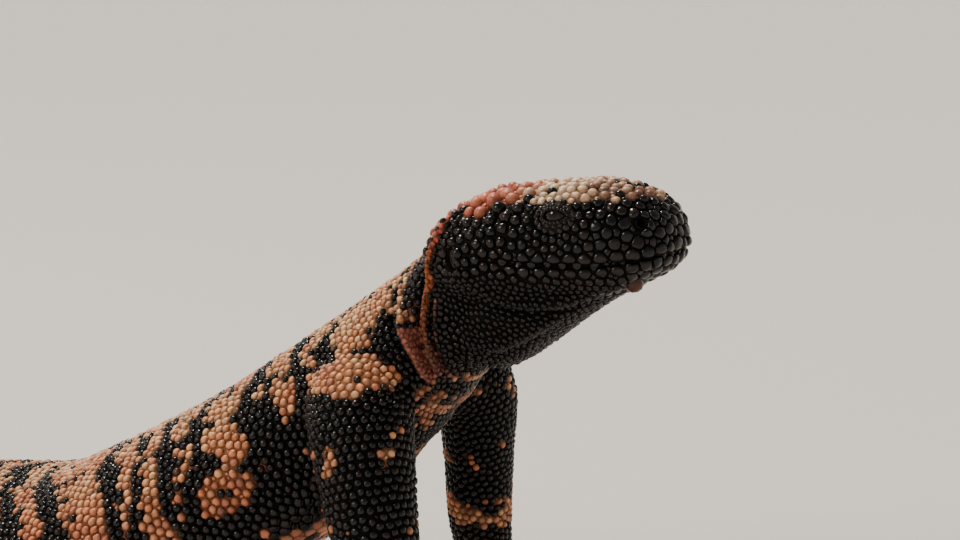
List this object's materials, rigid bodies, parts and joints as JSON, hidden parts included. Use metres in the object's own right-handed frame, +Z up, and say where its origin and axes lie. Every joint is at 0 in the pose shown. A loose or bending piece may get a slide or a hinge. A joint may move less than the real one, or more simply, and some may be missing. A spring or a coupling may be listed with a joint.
{
  "type": "gila monster",
  "caption": "Stocky beaded lizard resting on belly and thick curved tail, its chest raised on straight forelegs and its broad head lifted and turned to its right.",
  "frame": {"origin": "centre of the bounding box in plan, on the floor that the belly, tail and feet rest on", "axes": "+Z up, the trunk faces -Y and the tail runs towards +Y, the animal's left side is +X"},
  "size_m": [0.1726, 0.3954, 0.1282],
  "materials": {
    "beaded_skin": "satin beads, salmon with a glossy black net",
    "eye": "wet gloss, dark brown",
    "ear_drum": "satin membrane",
    "claw": "polished dark horn"
  },
  "bodies": {
    "root": {"head": "beaded_skin", "lower_jaw": "beaded_skin", "eye_l": "eye", "eye_r": "eye", "ear_l": "ear_drum", "ear_r": "ear_drum", "neck": "beaded_skin", "chest": "beaded_skin", "belly": "beaded_skin", "pelvis": "beaded_skin", "tail_base": "beaded_skin", "tail_middle": "beaded_skin", "tail_tip": "beaded_skin", "upper_arm_l": "beaded_skin", "upper_arm_r": "beaded_skin", "forearm_l": "beaded_skin", "forearm_r": "beaded_skin", "hand_l": "beaded_skin", "hand_r": "beaded_skin", "thigh_l": "beaded_skin", "thigh_r": "beaded_skin", "shank_l": "beaded_skin", "shank_r": "beaded_skin", "foot_l": "beaded_skin", "foot_r": "beaded_skin", "claw_hand_l_1": "claw", "claw_hand_l_2": "claw", "claw_hand_l_3": "claw", "claw_hand_l_4": "claw", "claw_hand_l_5": "claw", "claw_hand_r_1": "claw", "claw_hand_r_2": "claw", "claw_hand_r_3": "claw", "claw_hand_r_4": "claw", "claw_hand_r_5": "claw", "claw_foot_l_1": "claw", "claw_foot_l_2": "claw", "claw_foot_l_3": "claw", "claw_foot_l_4": "claw", "claw_foot_l_5": "claw", "claw_foot_r_1": "claw", "claw_foot_r_2": "claw", "claw_foot_r_3": "claw", "claw_foot_r_4": "claw", "claw_foot_r_5": "claw"}
  },
  "joints": []
}
